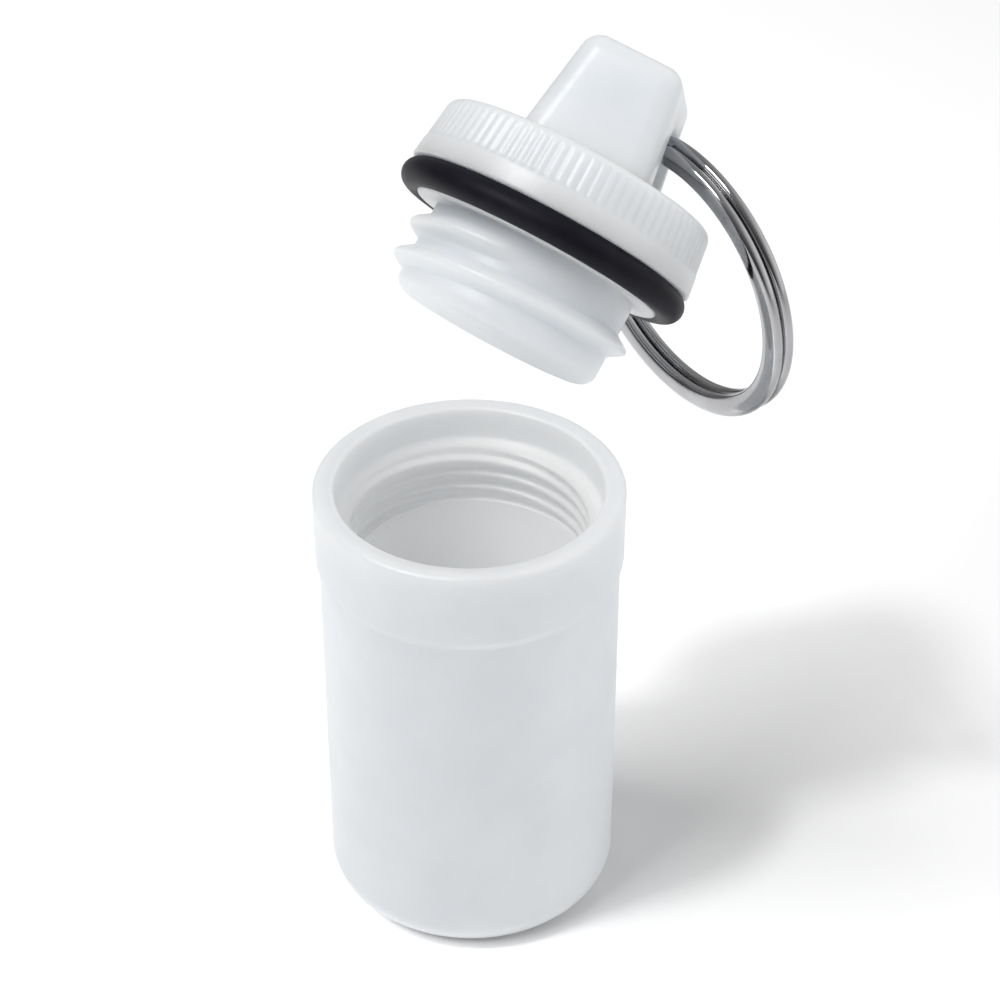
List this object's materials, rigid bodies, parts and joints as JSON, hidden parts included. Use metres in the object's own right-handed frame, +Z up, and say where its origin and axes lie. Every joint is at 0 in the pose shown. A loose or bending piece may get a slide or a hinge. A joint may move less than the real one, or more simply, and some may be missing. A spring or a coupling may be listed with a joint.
{
  "type": "keychain pill case",
  "caption": "Small round screw-top pill tube with an O-ring sealed cap, shown unscrewed, and a split ring through the cap's lug.",
  "frame": {"origin": "centre of the container's flat foot, on the surface that it stands on", "axes": "+Z up along the container's axis; -Y towards the viewer; the taken-off cap is held above the mouth, tilted towards +X and +Y, with its key ring drooping to the +X side"},
  "size_m": [0.0391, 0.0352, 0.0758],
  "materials": {
    "moulded_white": "cool near-white, faintly translucent moulded plastic with a soft sheen",
    "seal_black": "smooth glossy black rubber",
    "ring_metal": "bright nickel plate on steel, mirror polished"
  },
  "bodies": {
    "container": {"container": "moulded_white"},
    "seal_carrier": {"seal_ring": "seal_black"},
    "cap": {"cap": "moulded_white"},
    "key_ring": {"key_ring": "ring_metal"}
  },
  "joints": [
    {"name": "cap_swing", "type": "hinge", "parent": "container", "child": "seal_carrier", "pos_m": [0.00721, 0.0083, 0.04681], "axis": [0.7553, -0.6554, 0], "range_deg": [0, 45.88]},
    {"name": "cap_turn", "type": "hinge", "parent": "seal_carrier", "child": "cap", "pos_m": [0.00651, 0.00751, 0.0611], "axis": [0.4705, 0.5422, 0.6962], "continuous": true},
    {"name": "ring_swing", "type": "hinge", "parent": "cap", "child": "key_ring", "pos_m": [0.01485, 0.01295, 0.06581], "axis": [-0.5642, 0.7915, -0.2351], "range_deg": [-45, 0]}
  ]
}
